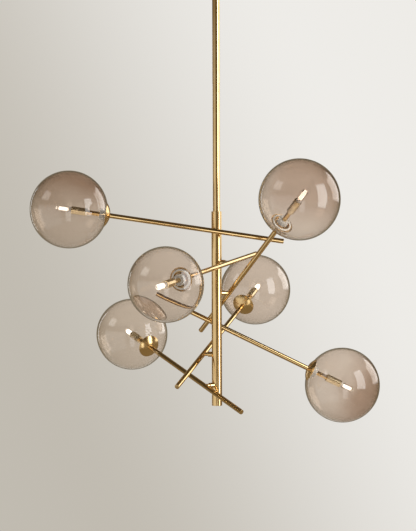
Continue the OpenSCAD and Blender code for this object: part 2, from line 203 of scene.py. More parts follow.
world = bpy.data.worlds.new("pale_studio")
scene.world = world
world.use_nodes = True
sky = world.node_tree
x, y, z = split_axes(sky, add_node(sky, "ShaderNodeTexCoord").outputs["Generated"])
azimuth = sums(sky, "DEGREES", sums(sky, "ARCTAN2", x, sums(sky, "MULTIPLY", y, -1)))
past_first = sums(sky, "SUBTRACT", azimuth, FIRST_AZIMUTH)
azimuth = sums(sky, "ADD", sums(sky, "FLOORED_MODULO", past_first, 360), FIRST_AZIMUTH)
elevation = sums(sky, "DEGREES", sums(sky, "ARCSINE", z))

room = spread(sky, elevation, *ROOM_RANGE, ROOM_BELOW, ROOM_ABOVE)
cards = 0.0
for left, right, low, high, edge, level in CARDS.values():
    across = within(sky, azimuth, left, right, edge)
    card = sums(sky, "MULTIPLY", across, within(sky, elevation, low, high, edge))
    cards = sums(sky, "MAXIMUM", cards, sums(sky, "MULTIPLY", card, level))
tint = blend_colours(sky, spread(sky, cards, *TINT_RANGE, 0, 1), ROOM_TINT, CARD_TINT)
reflected = vector_node(sky, "SCALE", tint)
feed(sky, reflected.inputs["Scale"], sums(sky, "MAXIMUM", room, cards))

# The backdrop grows paler towards the upper right.
to_right = sums(sky, "ADD", x, sums(sky, "MULTIPLY", z, BACKDROP_RISE))
backdrop = blend_colours(
    sky, spread(sky, to_right, *BACKDROP_RANGE, 0, 1), BACKDROP_LEFT, BACKDROP_RIGHT)

# A ray that passed straight through glass sees the backdrop, as the camera does.
ray = add_node(sky, "ShaderNodeLightPath").outputs
not_reflected = sums(sky, "LESS_THAN", ray["Glossy Depth"], 0.5)
through_glass = sums(sky, "MULTIPLY", ray["Is Transmission Ray"], not_reflected)
sees_backdrop = sums(sky, "MAXIMUM", ray["Is Camera Ray"], through_glass)
sees_cards = sums(sky, "MAXIMUM", ray["Is Glossy Ray"], ray["Is Transmission Ray"])
even_fill = (DIFFUSE_FILL, DIFFUSE_FILL, DIFFUSE_FILL, 1)
room_light = blend_colours(sky, sees_cards, even_fill, reflected.outputs[0])
feed(sky, sky.nodes["Background"].inputs["Color"],
     blend_colours(sky, sees_backdrop, room_light, backdrop))
print("cards in the world:", ", ".join(CARDS))

# %% [markdown]
# ## Lamps
# One tall soft box on the right makes the white line along each tube and the window
# patches in the glass. A narrow one behind on the left draws the thin rims of the globes.
# Their cloth is dimmer near its edges.
#
# The camera sees neither lamp. Glass may mirror a lamp, but must not show one that hangs
# behind it, and a lamp's shader isn't told what kind of ray asks, only how often it
# bounced. So each lamp is hung twice. The first lights everything, but no ray that leaves
# glass meets it. Its twin is met by those rays alone, and shines on the mirrored ones.

# %% Hang the lamps
STAGE_MIDDLE = Vector((0, 0, -0.75))
# Azimuth, elevation, distance, width, height (metres), brightness.
LAMPS = {
    "key_softbox": (60, 10, 1.7, 0.90, 1.7, 5.5),
    "rim_strip": (-137, 5, 2.2, 0.25, 1.6, 1.6),
}
SOFT_EDGE = 0.14
# A twin's power is this much lower and its shader makes up for it, so the renderer, which
# picks lamps by their power, wastes few samples on it.
TWIN_FAINTNESS = 50


def hang_lamp(name, facts, in_glass):
    """An area lamp, aimed at the middle of the object: the first, or its twin in glass."""
    azimuth, elevation, distance, width, height, radiance = facts
    shown = TWIN_FAINTNESS if in_glass else 1
    lamp = bpy.data.lights.new(name, "AREA")
    lamp.shape = "RECTANGLE"
    lamp.size, lamp.size_y = width, height
    lamp.energy = radiance * math.pi * width * height / shown
    lamp.use_nodes = True
    tree = lamp.node_tree
    if in_glass:
        path = add_node(tree, "ShaderNodeLightPath").outputs
        bounces = sums(tree, "ADD", path["Glossy Depth"], path["Diffuse Depth"])
        mirrored = sums(tree, "GREATER_THAN", bounces, 0.5)
        shown = sums(tree, "MULTIPLY", mirrored, shown)
    cloth = add_node(tree, "ShaderNodeNewGeometry").outputs["Parametric"]
    for place in split_axes(tree, cloth)[:2]:
        from_middle = sums(tree, "ABSOLUTE", sums(tree, "SUBTRACT", place, 0.5))
        even = spread(tree, from_middle, 0.5 - SOFT_EDGE, 0.5, 1, 0)
        shown = sums(tree, "MULTIPLY", shown, even)
    feed(tree, tree.nodes["Emission"].inputs["Strength"], shown)
    holder = bpy.data.objects.new(name, lamp)
    scene.collection.objects.link(holder)
    towards = Vector(card_direction(azimuth, elevation))
    holder.location = STAGE_MIDDLE + towards * distance
    holder.rotation_euler = towards.to_track_quat("Z", "Y").to_euler()
    holder.visible_camera = False
    holder.visible_transmission = in_glass
    holder.visible_diffuse = holder.visible_glossy = not in_glass


for name, facts in LAMPS.items():
    hang_lamp(name, facts, in_glass=False)
    hang_lamp(name + "_in_glass", facts, in_glass=True)
    print(name, "hangs at azimuth", facts[0])

# %% [markdown]
# ## The floor
# A plain pale floor lies well below the light. Near the middle it is real and takes the
# soft shadow. Further out it thins to nothing over the backdrop, so no edge shows. A little
# glow that only the camera and glass see keeps it as pale as the backdrop. The brass doesn't
# mirror it, because in the photograph nothing bright lies below the light.

# %% Lay the floor
FLOOR_Z = -2.3
FLOOR_RADIUS = 5.2
FLOOR_FADE = (1.6, 5.0)
FLOOR_PAINT = (0.90, 0.88, 0.84, 1)
FLOOR_GLOW = 0.38

floor_mesh = bmesh.new()
bmesh.ops.create_circle(floor_mesh, cap_ends=True, segments=96, radius=FLOOR_RADIUS)
bmesh.ops.translate(floor_mesh, verts=floor_mesh.verts, vec=(0, 0, FLOOR_Z))
floor = bpy.data.objects.new("floor", bpy.data.meshes.new("floor"))
floor_mesh.to_mesh(floor.data)
floor_mesh.free()
scene.collection.objects.link(floor)
floor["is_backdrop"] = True
floor.visible_glossy = False

floor_paint = bpy.data.materials.new("floor_paint")
floor_paint.use_nodes = True
tree = floor_paint.node_tree
paint = tree.nodes["Principled BSDF"]
paint.inputs["Base Color"].default_value = FLOOR_PAINT
paint.inputs["Roughness"].default_value = 0.9
paint.inputs["Emission Color"].default_value = FLOOR_PAINT
ray = add_node(tree, "ShaderNodeLightPath").outputs
looked_at = sums(tree, "MAXIMUM", ray["Is Camera Ray"], ray["Is Transmission Ray"])
feed(tree, paint.inputs["Emission Strength"], sums(tree, "MULTIPLY", looked_at, FLOOR_GLOW))
place = add_node(tree, "ShaderNodeTexCoord").outputs["Object"]
distance = vector_node(tree, "DISTANCE", place, (0, 0, FLOOR_Z)).outputs["Value"]
clear = add_node(tree, "ShaderNodeBsdfTransparent")
fade = add_node(tree, "ShaderNodeMixShader")
feed(tree, fade.inputs["Fac"], spread(tree, distance, *FLOOR_FADE, 0, 1))
feed(tree, fade.inputs[1], paint.outputs["BSDF"])
feed(tree, fade.inputs[2], clear.outputs["BSDF"])
feed(tree, tree.nodes["Material Output"].inputs["Surface"], fade.outputs["Shader"])
floor.data.materials.append(floor_paint)
print("floor at", FLOOR_Z, "m")

# %% [markdown]
# ## Finishes
# All the brass is one alloy, but the tubes are drawn and polished lengthwise, and the caps
# are spun over a form and polished while they turn. The lines left by that work are far
# finer than a pixel, so they show as a slight haze across the highlight. Patterns follow
# each piece through an attribute named "turned", which holds the place of every point on
# the lathe, before the piece was tilted into its arm. Image textures would need unwrapping
# and would blur up close, so everything is made from noise instead.

# %% Start a finish
BRASS = (0.86, 0.62, 0.315, 1)
BRASS_DEEP = (0.80, 0.555, 0.26, 1)


def new_finish(name, **values):
    """A material with its shader's own sockets set, and the tree and shader to build on."""
    finish = bpy.data.materials.new(name)
    finish.use_nodes = True
    shader = finish.node_tree.nodes["Principled BSDF"]
    for socket, value in values.items():
        shader.inputs[socket.replace("_", " ")].default_value = value
    return finish, finish.node_tree, shader


def turned_place(tree):
    """Each point's place on the lathe, in metres, with Z along the piece's axis."""
    return add_node(tree, "ShaderNodeAttribute", attribute_name="turned").outputs["Vector"]


def object_place(tree):
    """Each point's place in the shared frame, in metres."""
    return add_node(tree, "ShaderNodeTexCoord").outputs["Object"]


def stretched(tree, place, scale):
    """The place, stretched by a different amount along each axis."""
    made = add_node(tree, "ShaderNodeMapping")
    feed(tree, made.inputs["Vector"], place)
    made.inputs["Scale"].default_value = scale
    return made.outputs["Vector"]


def cloudy(tree, place, scale, detail=2.0):
    """Soft noise, from 0 to 1."""
    made = add_node(tree, "ShaderNodeTexNoise")
    feed(tree, made.inputs["Vector"], place)
    made.inputs["Scale"].default_value = scale
    made.inputs["Detail"].default_value = detail
    return made.outputs["Fac"]


def from_noise(tree, noise, low, high):
    """Noise hardly leaves 0.3 to 0.7, so that part alone is mapped to the new range."""
    return spread(tree, noise, 0.3, 0.7, low, high)


def raise_surface(tree, shader, height, distance, strength=1.0):
    """Lets the light see a height as real relief, the distance in metres."""
    made = add_node(tree, "ShaderNodeBump")
    made.inputs["Strength"].default_value = strength
    made.inputs["Distance"].default_value = distance
    feed(tree, made.inputs["Height"], height)
    feed(tree, shader.inputs["Normal"], made.outputs["Normal"])


# %% Drawn and polished brass
# How fine the polishing streaks are along each axis: about a hundred times longer than wide.
STREAKS = (1500, 1500, 14)


def drawn_brass(name, place_of, rough=(0.09, 0.14), bright=BRASS, deep=BRASS_DEEP):
    """Brass with faint streaks along Z and a lacquer that varies a little. Its pattern
    follows turned_place or object_place, and rough is the range of its roughness."""
    finish, tree, shader = new_finish(name, Metallic=1.0)
    place = place_of(tree)
    streaks = cloudy(tree, stretched(tree, place, STREAKS), scale=1.0, detail=3.0)
    blotches = cloudy(tree, place, scale=38, detail=3.0)
    colour = blend_colours(tree, from_noise(tree, blotches, 0, 1), bright, deep)
    feed(tree, shader.inputs["Base Color"], colour)
    feed(tree, shader.inputs["Roughness"], from_noise(tree, streaks, *rough))
    raise_surface(tree, shader, streaks, distance=0.0000006)
    return finish


tube_brass = drawn_brass("tube_brass", turned_place)
fitting_brass = drawn_brass("fitting_brass", object_place, rough=(0.13, 0.21))
# Painted light: the holder gets a paler copy of the brass, which makes up for the light that the
# smoky glass around it takes.
holder_brass = drawn_brass(
    "holder_brass", turned_place, rough=(0.20, 0.28),
    bright=(0.96, 0.84, 0.60, 1), deep=(0.92, 0.78, 0.52, 1))
print("made", tube_brass.name, fitting_brass.name, holder_brass.name)

# %% [markdown]
# ### Spun brass
# The caps are domes spun on a lathe. Their polishing lines are rings, which spread each
# highlight outwards into a wedge. A bump alone can't do that at this size, so the shader's
# anisotropy spreads the light, along the piece's own map, and rings of noise break it up.
# The hollow side of a cap is never polished, so it stays satin, and its colour is painted paler
# than the other brass: painted light for the bright inside of the cap.

# %% Spun brass
spun_brass, tree, shader = new_finish("spun_brass", Metallic=1.0, Anisotropic=0.5)
place = turned_place(tree)
flat = vector_node(tree, "MULTIPLY", place, (1, 1, 0)).outputs["Vector"]
ring_place = add_node(tree, "ShaderNodeCombineXYZ")
feed(tree, ring_place.inputs["X"], vector_node(tree, "LENGTH", flat).outputs["Value"])
rings = cloudy(tree, ring_place.outputs["Vector"], scale=2600, detail=3.0)
blotches = cloudy(tree, place, scale=60, detail=3.0)
feed(tree, shader.inputs["Base Color"], blend_colours(tree, blotches, BRASS, BRASS_DEEP))
feed(tree, shader.inputs["Roughness"], from_noise(tree, rings, 0.18, 0.26))
tangent = add_node(tree, "ShaderNodeTangent", direction_type="UV_MAP", uv_map="lathe")
feed(tree, shader.inputs["Tangent"], tangent.outputs["Tangent"])
raise_surface(tree, shader, rings, distance=0.000002)
# Painted light: the satin brass inside a cap is a paler copy of the brass, so that it looks lit.
painted_lit_satin_brass = drawn_brass(
    "painted_lit_satin_brass", turned_place, rough=(0.36, 0.48),
    bright=(0.95, 0.78, 0.50, 1), deep=(0.91, 0.72, 0.44, 1))
print("made", spun_brass.name, painted_lit_satin_brass.name)

# %% [markdown]
# ### Plated steel
# The ceiling bar and its nuts are zinc plated, with a faint frost of crystals.

# %% Plated steel
ZINC = (0.62, 0.63, 0.62, 1)
ZINC_DEEP = (0.50, 0.50, 0.47, 1)

plated_steel, tree, shader = new_finish("plated_steel", Metallic=1.0)
place = object_place(tree)
crystals = add_node(tree, "ShaderNodeTexVoronoi")
feed(tree, crystals.inputs["Vector"], place)
crystals.inputs["Scale"].default_value = 420
frost = cloudy(tree, place, scale=90, detail=4.0)
feed(tree, shader.inputs["Base Color"], blend_colours(tree, frost, ZINC, ZINC_DEEP))
feed(tree, shader.inputs["Roughness"], from_noise(tree, frost, 0.26, 0.42))
raise_surface(tree, shader, crystals.outputs["Distance"], distance=0.00002)
print("made", plated_steel.name)

# %% [markdown]
# ### Acrylic and silicone
# The nut in each globe is turned from clear acrylic, but its threads and turning marks make
# it look more frosted than clear. The seal is milky silicone: it lets a little light through
# and is softer. Both are the same recipe with other numbers.

# %% Acrylic and silicone
def see_through(name, clearness, tint, deep, rough, fineness, relief, index):
    """A clear or milky solid with a slightly uneven tint and surface."""
    finish, tree, shader = new_finish(name, Transmission_Weight=clearness, IOR=index)
    place = turned_place(tree)
    clouds = cloudy(tree, place, scale=160)
    feed(tree, shader.inputs["Base Color"], blend_colours(tree, clouds, tint, deep))
    grain = cloudy(tree, place, fineness, detail=3.0)
    feed(tree, shader.inputs["Roughness"], from_noise(tree, grain, *rough))
    raise_surface(tree, shader, grain, relief)
    return finish


clear_acrylic = see_through(
    "clear_acrylic", clearness=0.35, tint=(0.99, 0.98, 0.94, 1), deep=(0.95, 0.94, 0.89, 1),
    rough=(0.06, 0.14), fineness=500, relief=0.000002, index=1.49)
clear_silicone = see_through(
    "clear_silicone", clearness=0.10, tint=(0.98, 0.95, 0.88, 1), deep=(0.95, 0.92, 0.84, 1),
    rough=(0.18, 0.28), fineness=200, relief=0.000001, index=1.41)
print("made", clear_acrylic.name, clear_silicone.name)

# %% [markdown]
# ### Glass
# The globes are blown glass, tinted in the mass to a rose-brown smoke. They are modelled
# as a real wall with an outer and an inner skin, so that the light bends and mirrors twice
# as it does in the photograph. Each skin takes half of a wall's tint. The glass runs while
# it is blown, so on some globes one side is thicker and darker, mostly the pole away from
# the cap. The turning leaves it very slightly uneven, which a weak, wide bump shows.

# %% Smoky glass
SMOKE = (0.918, 0.850, 0.785, 1)
SMOKE_THICK = (0.640, 0.520, 0.435, 1)
# How much of the thick tint each arm's globe has at its thin and its thick side, and the
# way from one to the other on the lathe: Z runs from the cap to the far pole.
THICKNESS = {
    1: (0.18, 1.0, (0, 1, 0)),
    2: (0.13, 0.15, (0, 0, 1)),
    3: (0.18, 0.95, (0, 0, 1)),
    4: (0.12, 1.0, (0, 0, 1)),
    5: (0.17, 0.18, (0, 0, 1)),
    6: (0.0, 0.02, (0, 0, 1)),
}
# In metres: the middle of a globe on the lathe, the places along the way between which the
# tint changes, and how far noise shifts them.
BALL_MIDDLE = (0, 0, 0.071)
THICK_RANGE = (-0.020, 0.065)
THICK_WANDER = 0.08


def blown_glass(n):
    """The smoky glass of one globe, tinted from its thin side to its thick side."""
    finish, tree, shader = new_finish(
        f"smoky_glass_{n}", Transmission_Weight=1.0, IOR=1.5, Roughness=0.0)
    place = turned_place(tree)
    thin_share, thick_share, way = THICKNESS[n]
    from_middle = vector_node(tree, "SUBTRACT", place, BALL_MIDDLE).outputs["Vector"]
    along = vector_node(tree, "DOT_PRODUCT", from_middle, way).outputs["Value"]
    uneven = sums(tree, "SUBTRACT", cloudy(tree, place, scale=11 + n, detail=1.0), 0.5)
    along = sums(tree, "ADD", along, sums(tree, "MULTIPLY", uneven, THICK_WANDER))
    thick = spread(tree, along, *THICK_RANGE, thin_share, thick_share)
    feed(tree, shader.inputs["Base Color"], blend_colours(tree, thick, SMOKE, SMOKE_THICK))
    waves = cloudy(tree, place, scale=16, detail=1.0)
    raise_surface(tree, shader, waves, distance=0.0004, strength=0.10)
    return finish


smoky_glass = {n: blown_glass(n) for n in THICKNESS}
print("made", ", ".join(finish.name for finish in smoky_glass.values()))

# %% [markdown]
# ### The lit lamp
# A small clear capsule with a bright core, switched on. The core shines whitest in the
# middle and warmer towards its ends. The lamp's base is pressed white ceramic.

# %% Lit core, clear capsule and ceramic base
GLOW_WARM = (1.0, 0.87, 0.74, 1)
GLOW_WHITE = (1.0, 0.98, 0.94, 1)
CORE_BODY = (0.92, 0.88, 0.80, 1)
CERAMIC = (0.78, 0.72, 0.66, 1)
CERAMIC_DEEP = (0.62, 0.56, 0.50, 1)
# In metres: the core's middle on the lathe, the distances from it between which the glow
# turns warm, and how far the frosting shifts them.
CORE_MIDDLE = 0.0835
WARM_RANGE = (0.004, 0.011)
FROST_SHIFT = 0.003

lit_core, tree, shader = new_finish("lit_core", Roughness=0.35, Emission_Strength=1.9)
shader.inputs["Base Color"].default_value = CORE_BODY
place = turned_place(tree)
along = split_axes(tree, place)[2]
from_middle = sums(tree, "ABSOLUTE", sums(tree, "SUBTRACT", along, CORE_MIDDLE))
frosting = cloudy(tree, place, scale=900, detail=3.0)
from_middle = sums(tree, "ADD", from_middle, sums(tree, "MULTIPLY", frosting, FROST_SHIFT))
warmth = spread(tree, from_middle, *WARM_RANGE, 0, 1)
feed(tree, shader.inputs["Emission Color"], blend_colours(tree, warmth, GLOW_WHITE, GLOW_WARM))
raise_surface(tree, shader, frosting, distance=0.00002)

capsule_glass = see_through(
    "capsule_glass", clearness=1.0, tint=(0.99, 0.98, 0.96, 1), deep=(0.96, 0.95, 0.92, 1),
    rough=(0.0, 0.02), fineness=300, relief=0.000004, index=1.46)

ceramic, tree, shader = new_finish("ceramic", Roughness=0.5)
speckle = cloudy(tree, turned_place(tree), scale=1400, detail=4.0)
feed(tree, shader.inputs["Base Color"], blend_colours(tree, speckle, CERAMIC, CERAMIC_DEEP))
raise_surface(tree, shader, speckle, distance=0.00002)
print("made", lit_core.name, capsule_glass.name, ceramic.name)

# %% [markdown]
# ## A lathe
# Nearly every piece of this light is round, and on the real one most were turned or spun.
# So they are made the same way: half an outline, swept round Z. The outline is a few
# vertices, its curves are swept by the same spin operator, and the sharp edges that the
# sweep leaves are bevelled by a few tenths of a millimetre, because real edges catch light.

# %% The lathe
MM = 0.001
FULL_TURN = 2 * math.pi
SHARP = math.radians(30)
# In metres: closer to the axis than this is on it, and closer together is one point.
ON_AXIS = 1e-9
SAME_POINT = 1e-7
# The length of outline, in metres, that one unit of the map covers.
MAP_LENGTH = 0.1


def sleeve(bore, radius, start, end):
    """The outline of a plain ring or tube."""
    return [(bore, start), (radius, start), (radius, end), (bore, end)]


def draw_outline(mesh, path):
    """Draws half an outline in the XZ plane. A step (r, z) is a point. A step
    (centre, end, steps) is an arc from the last point to end about centre."""
    corner = first = None
    for step in path:
        if len(step) == 2:
            new = mesh.verts.new((step[0] * MM, 0, step[1] * MM))
            if corner:
                mesh.edges.new((corner, new))
        else:
            centre, end, steps = step
            start = (corner.co.x / MM - centre[0], corner.co.z / MM - centre[1])
            finish = (end[0] - centre[0], end[1] - centre[1])
            angle = math.atan2(finish[1], finish[0]) - math.atan2(start[1], start[0])
            angle = (angle + math.pi) % FULL_TURN - math.pi
            swept = bmesh.ops.spin(
                mesh, geom=[corner], cent=(centre[0] * MM, 0, centre[1] * MM),
                axis=(0, -1, 0), angle=angle, steps=steps)
            new = next(v for v in swept["geom_last"] if isinstance(v, bmesh.types.BMVert))
        first = first or new
        corner = new
    return first, corner


def turn_on_lathe(path, around, soft=0.0):
    """Spins half an outline into a solid, as a bmesh. An outline that doesn't end on the
    axis is closed first. Sharp edges are bevelled by soft, in millimetres."""
    mesh = bmesh.new()
    first, last = draw_outline(mesh, path)
    if max(first.co.x, last.co.x) >= ON_AXIS:
        mesh.edges.new((last, first))
    bmesh.ops.spin(mesh, geom=mesh.verts[:] + mesh.edges[:], cent=(0, 0, 0),
                   axis=(0, 0, 1), angle=FULL_TURN, steps=around, use_merge=True)
    bmesh.ops.remove_doubles(mesh, verts=mesh.verts, dist=SAME_POINT)
    bmesh.ops.recalc_face_normals(mesh, faces=mesh.faces)
    if soft:
        edges = [e for e in mesh.edges if e.is_manifold and e.calc_face_angle() > SHARP]
        bmesh.ops.bevel(mesh, geom=edges, offset=soft * MM, offset_type="OFFSET",
                        segments=2, profile=0.5, affect="EDGES", clamp_overlap=True,
                        material=-1)
    return mesh


def map_lathe(mesh):
    """Keeps each point's place on the lathe, and a map: along the outline, and around."""
    turned = mesh.verts.layers.float_vector.new("turned")
    lathe = mesh.loops.layers.uv.new("lathe")
    for vert in mesh.verts:
        vert[turned] = vert.co
    for face in mesh.faces:
        middle = face.calc_center_median()
        around = math.atan2(middle.y, middle.x)
        for loop in face.loops:
            x, y, z = loop.vert.co
            # A point on the axis has no angle of its own, and one beyond the seam of the
            # map counts on past it, so that no face is stretched across the whole map.
            own = math.atan2(y, x) if math.hypot(x, y) > SAME_POINT else around
            own = around + (own - around + math.pi) % FULL_TURN - math.pi
            loop[lathe].uv = ((math.hypot(x, y) + z) / MAP_LENGTH, own / FULL_TURN)


def stand(mesh, name, place, finish, body, slot, *nodes):
    """Sets a turned mesh in its place and makes it a piece that rides on a body."""
    map_lathe(mesh)
    mesh.transform(place)
    piece = bpy.data.objects.new(name, bpy.data.meshes.new(name))
    mesh.to_mesh(piece.data)
    mesh.free()
    piece.data.shade_smooth()
    piece.data.materials.append(finish)
    scene.collection.objects.link(piece)
    even = piece.modifiers.new("even_shading", "WEIGHTED_NORMAL")
    even.weight = 100
    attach(piece, body)
    if nodes:
        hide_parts(*nodes)
    return piece


# %% [markdown]
# Light falls through a real globe on what is inside it. The renderer would need costly
# caustics for that, and without them the inside of glass stays dark. So the thin glass is
# hidden from shadow rays and from diffuse rays, which then pass as if it weren't there.

# %% Let light into glass
def let_light_in(glass):
    """Lets the lamps and the room shine on what the glass holds."""
    glass.visible_shadow = False
    glass.visible_diffuse = False


# %% [markdown]
# ## Where each arm is
# The CAD part places the arms by three numbers each: the direction of the stub, the rise of
# the arm and the globe's diameter. They are repeated here, and checked against the joints
# of the frame, so a mistake would stop the script before any piece is made. From here on,
# lengths are in millimetres until the lathe or slide turns them into metres.

# %% Places of the arms
ARM_OFFSET, ARM_REACH, ARM_BACK = 29.25, 218, 130
FIRST_PIVOT_Z, ARM_STEP = -660, 60
# Direction of the stub and rise of the arm in degrees, diameter of the globe in mm.
ARMS = {
    1: (-87, 8.5, 150),
    2: (-25, -8, 135),
    3: (33, 37, 150),
    4: (99, -26, 150),
    5: (155, 25, 150),
    6: (214, 18, 150),
}


def slide(x, y, z):
    """A shift by so many millimetres."""
    return Matrix.Translation((x * MM, y * MM, z * MM))


def at_pivot(n):
    """The pivot of arm n, with X along its stub and away from the column."""
    height = FIRST_PIVOT_Z - ARM_STEP * (n - 1)
    turn = Matrix.Rotation(math.radians(ARMS[n][0]), 4, "Z")
    return slide(0, 0, height) @ turn @ slide(ARM_OFFSET, 0, 0)


def along_arm(n):
    """The same place, with Z along the arm and towards its globe."""
    return at_pivot(n) @ Matrix.Rotation(math.radians(90 - ARMS[n][1]), 4, "X")


def at_rim(n):
    """The middle of the rim of globe cap n, with Z towards the globe."""
    return along_arm(n) @ slide(0, 0, ARM_REACH)


def along_stub(n):
    """On the column's axis at the height of pivot n, with Z along the stub."""
    return at_pivot(n) @ slide(-ARM_OFFSET, 0, 0) @ Matrix.Rotation(math.pi / 2, 4, "Y")


for joint in frame["joints"]:
    if joint["name"].startswith("arm_"):
        n = int(joint["name"].split("_")[1])
        miss = (at_pivot(n).translation - Vector(joint["pos_m"])).length
        assert miss < 1e-5, joint["name"]
        print("arm", n, "pivots where the joint is, within", round(miss * 1e6, 1), "micrometres")

# %% [markdown]
# ## Stem and column
# Two drawn rods and a wider column, which slide into each other on hidden spigots. Only
# their ends show that they are separate: a fine seam between the rods, and a step with a
# softened edge where the column starts.

# %% Turn the stem
UPPER_TOP, SEAM, COLUMN_TOP, COLUMN_FOOT = -70, -370, -620, -1000
UPPER_RADIUS, LOWER_RADIUS, COLUMN_RADIUS, COLUMN_BORE = 7.25, 7, 10, 8.5
# The lower rod has a spigot at each end, and what takes a spigot is bored a little wider.
SPIGOT_BORE, SPIGOT_RADIUS, SOCKET_RADIUS = 3, 5, 5.1
SPIGOT_UP, SPIGOT_DOWN = SEAM + 14, COLUMN_TOP - 8

upper = turn_on_lathe(sleeve(SOCKET_RADIUS, UPPER_RADIUS, SEAM, UPPER_TOP), 96, soft=0.25)
stand(upper, "upper_rod_turned", Matrix(), tube_brass, "stem", "polished_brass", "upper_rod")

lower = turn_on_lathe([
    (SPIGOT_BORE, SPIGOT_DOWN), (SPIGOT_RADIUS, SPIGOT_DOWN), (SPIGOT_RADIUS, COLUMN_TOP),
    (LOWER_RADIUS, COLUMN_TOP), (LOWER_RADIUS, SEAM), (SPIGOT_RADIUS, SEAM),
    (SPIGOT_RADIUS, SPIGOT_UP), (SPIGOT_BORE, SPIGOT_UP)], 96, soft=0.25)
stand(lower, "lower_rod_turned", Matrix(), tube_brass, "stem", "polished_brass", "lower_rod")

column = turn_on_lathe([
    (COLUMN_BORE, COLUMN_FOOT), (COLUMN_RADIUS, COLUMN_FOOT), (COLUMN_RADIUS, COLUMN_TOP),
    (SOCKET_RADIUS, COLUMN_TOP), (SOCKET_RADIUS, SPIGOT_DOWN), (COLUMN_BORE, SPIGOT_DOWN)],
    128, soft=0.35)
stand(column, "column_turned", Matrix(), tube_brass, "stem", "polished_brass", "column")
print("stem turned")

# %% [markdown]
# ## Pivots
# Each arm turns on a stub: a collar fixed to the column, and a thinner neck that is part of
# the arm. They are turned along the stub, so the lathe's Z becomes the stub's direction.
# Inside the column a locknut keeps the stub from pulling out.

# %% Turn the pivots
COLLAR = (3.05, 5.15, 8.8, 18)
LOCKNUT = (3.05, 4.5, 4.4, 6.9)
STUB_BORE, SPINDLE_RADIUS, NECK_RADIUS = 1.6, 3, 3.6
SPINDLE_START, NECK_START, NECK_END = 3, 18.3, 25.2

for n in ARMS:
    collar = turn_on_lathe(sleeve(*COLLAR), 64, soft=0.35)
    stand(collar, f"pivot_collar_{n}", along_stub(n), tube_brass, "stem", "polished_brass",
          "pivot_collars")
    stub = turn_on_lathe([
        (STUB_BORE, SPINDLE_START), (SPINDLE_RADIUS, SPINDLE_START),
        (SPINDLE_RADIUS, NECK_START), (NECK_RADIUS, NECK_START),
        (NECK_RADIUS, NECK_END), (STUB_BORE, NECK_END)], 64, soft=0.25)
    locknut = turn_on_lathe(sleeve(*LOCKNUT), 48, soft=0.2)
    spare = bpy.data.meshes.new("locknut")
    locknut.to_mesh(spare)
    locknut.free()
    stub.from_mesh(spare)
    bpy.data.meshes.remove(spare)
    stand(stub, f"pivot_stub_turned_{n}", along_stub(n), tube_brass, f"branch_{n}",
          "polished_brass", f"pivot_stub_{n}")
print("pivots turned:", len(ARMS))

# %% [markdown]
# ## Arms
# A straight tube with a closed, softened tip. Its other end is reduced: it passes through
# cap and nut, and carries the lamp holder inside the globe.

# %% Turn the arms
ARM_RADIUS, NIPPLE_RADIUS, ARM_BORE = 4.75, 4.3, 2.8
CAP_SEAT = 8.2
SHOULDER = ARM_REACH - CAP_SEAT
NIPPLE_END = ARM_REACH + 45
TIP_INSIDE = 2 - ARM_BACK

for n in ARMS:
    arm = turn_on_lathe([
        (0, -ARM_BACK), (ARM_RADIUS, -ARM_BACK), (ARM_RADIUS, SHOULDER),
        (NIPPLE_RADIUS, SHOULDER), (NIPPLE_RADIUS, NIPPLE_END), (ARM_BORE, NIPPLE_END),
        (ARM_BORE, TIP_INSIDE), (0, TIP_INSIDE)], 64, soft=0.45)
    stand(arm, f"arm_turned_{n}", along_arm(n), tube_brass, f"branch_{n}",
          "polished_brass", f"arm_tube_{n}")
print("arms turned:", len(ARMS))

# %% [markdown]
# ## Globe caps
# A spun dome with a hub for the arm and a short sleeve that carries the seal. Its outer and
# inner skins are parts of two balls about one centre, and its edge is ground to the globe.
# Heights count from the rim of the cap, towards the globe.

# %% Spin the caps
CAP_RADIUS, CAP_HEIGHT = 23, 8.5
DOME_RADIUS = (CAP_RADIUS ** 2 + CAP_HEIGHT ** 2) / (2 * CAP_HEIGHT)
DOME_MIDDLE = DOME_RADIUS - CAP_HEIGHT
INNER_DOME = DOME_RADIUS - 1
# The hole for the arm, and the radius at which its flat seat meets the dome.
HUB_BORE, SEAT_RADIUS = 4.35, 4.62
HUB_RADIUS, HUB_END = 6.5, 2.5
SLEEVE_BORE, SLEEVE_RADIUS, SLEEVE_END = 15, 15.8, 3
# The ground edge runs from the rim in to the first radius, the hollow starts at the second.
EDGE_RADIUS, HOLLOW_RADIUS = 20.45, 20.4


def globe_middle(n):
    """Distance from the cap's rim to the globe's centre."""
    return math.sqrt((ARMS[n][2] / 2 + 0.1) ** 2 - CAP_RADIUS ** 2)


def on_ball(r, radius, middle):
    """The point of a ball's near side at that distance from the axis."""
    return (r, middle - math.sqrt(radius ** 2 - r ** 2))


def on_dome(r, radius=INNER_DOME):
    """The same on a ball about the dome's centre."""
    return on_ball(r, radius, DOME_MIDDLE)


